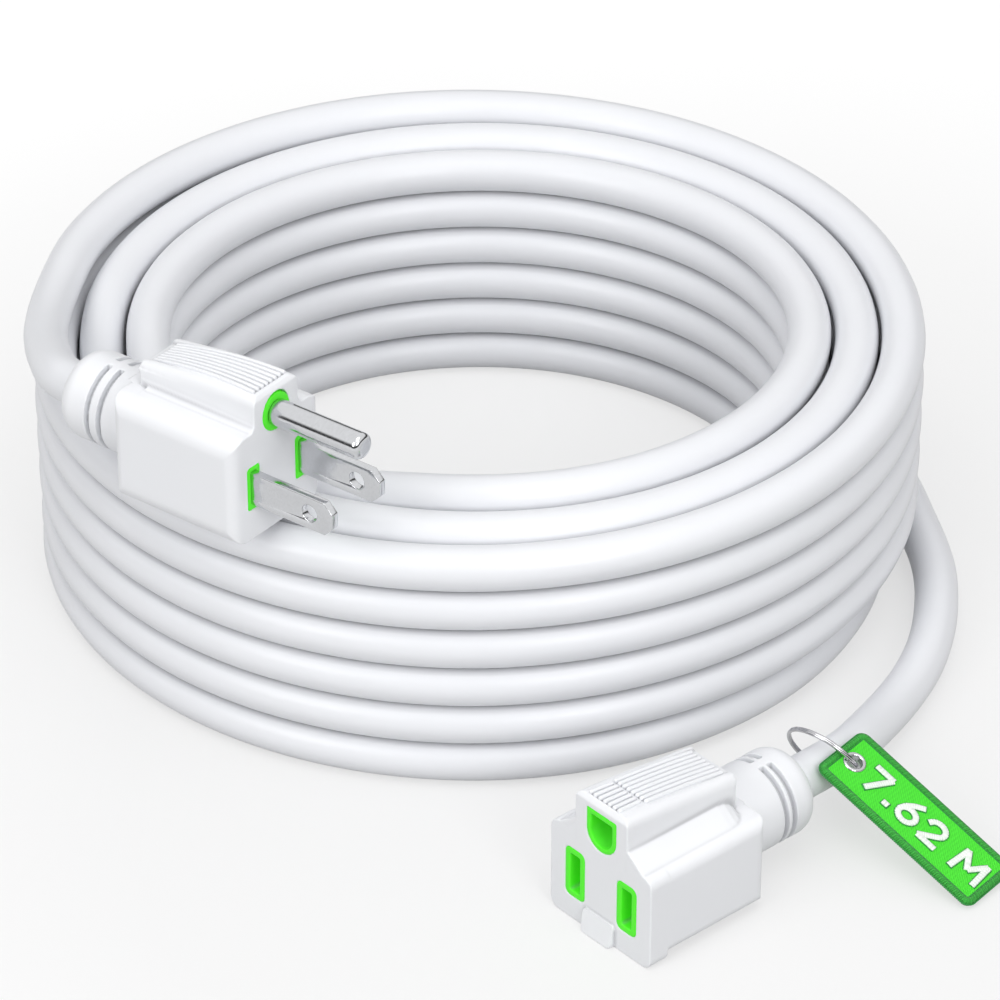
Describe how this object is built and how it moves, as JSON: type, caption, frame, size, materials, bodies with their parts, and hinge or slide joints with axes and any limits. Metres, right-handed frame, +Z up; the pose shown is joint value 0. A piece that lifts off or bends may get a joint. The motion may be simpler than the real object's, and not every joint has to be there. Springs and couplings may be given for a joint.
{
  "type": "extension cord",
  "caption": "Coiled outdoor extension cord with a grounded plug, a grounded connector, moulded strain reliefs and a fabric tag on a split ring.",
  "frame": {"origin": "on the floor under the middle of the connector", "axes": "+X from the connector's face towards its strain relief, +Y from the connector towards the coil, +Z up"},
  "size_m": [0.1701, 0.2218, 0.0762],
  "materials": {
    "housing": "satin moulded vinyl",
    "jacket": "satin vinyl",
    "core": "semi-gloss",
    "contact": "plain",
    "pin": "nickel plated",
    "lead_black": "vinyl",
    "lead_white": "vinyl",
    "lead_green": "vinyl",
    "ring": "nickel plated",
    "tag_cloth": "twill",
    "tag_thread": "overlock stitched"
  },
  "bodies": {
    "cord_set": {"connector_housing": "housing", "connector_strain_relief": "housing", "connector_core": "core", "connector_line_contact": "contact", "connector_neutral_contact": "contact", "connector_ground_contact": "contact", "connector_line_lead": "lead_black", "connector_neutral_lead": "lead_white", "connector_ground_lead": "lead_green", "cord_free_end": "jacket", "cord_coil": "jacket", "cord_plug_end": "jacket", "plug_housing": "housing", "plug_strain_relief": "housing", "plug_core": "core", "plug_line_blade": "pin", "plug_neutral_blade": "pin", "plug_ground_pin": "pin", "plug_line_lead": "lead_black", "plug_neutral_lead": "lead_white", "plug_ground_lead": "lead_green"},
    "ring": {"split_ring": "ring"},
    "tag": {"tag_body": "tag_cloth", "tag_border": "tag_thread", "eyelet": "ring"}
  },
  "joints": [
    {"name": "ring_swing", "type": "hinge", "parent": "cord_set", "child": "ring", "pos_m": [0.0316, 0, 0.0108], "axis": [1, 0, 0], "range_deg": [-90, 0]},
    {"name": "tag_swivel", "type": "hinge", "parent": "ring", "child": "tag", "pos_m": [0.0319, -0.0059, 0.0137], "axis": [-0.0046, -0.4032, 0.9151], "range_deg": [-30, 30]}
  ]
}
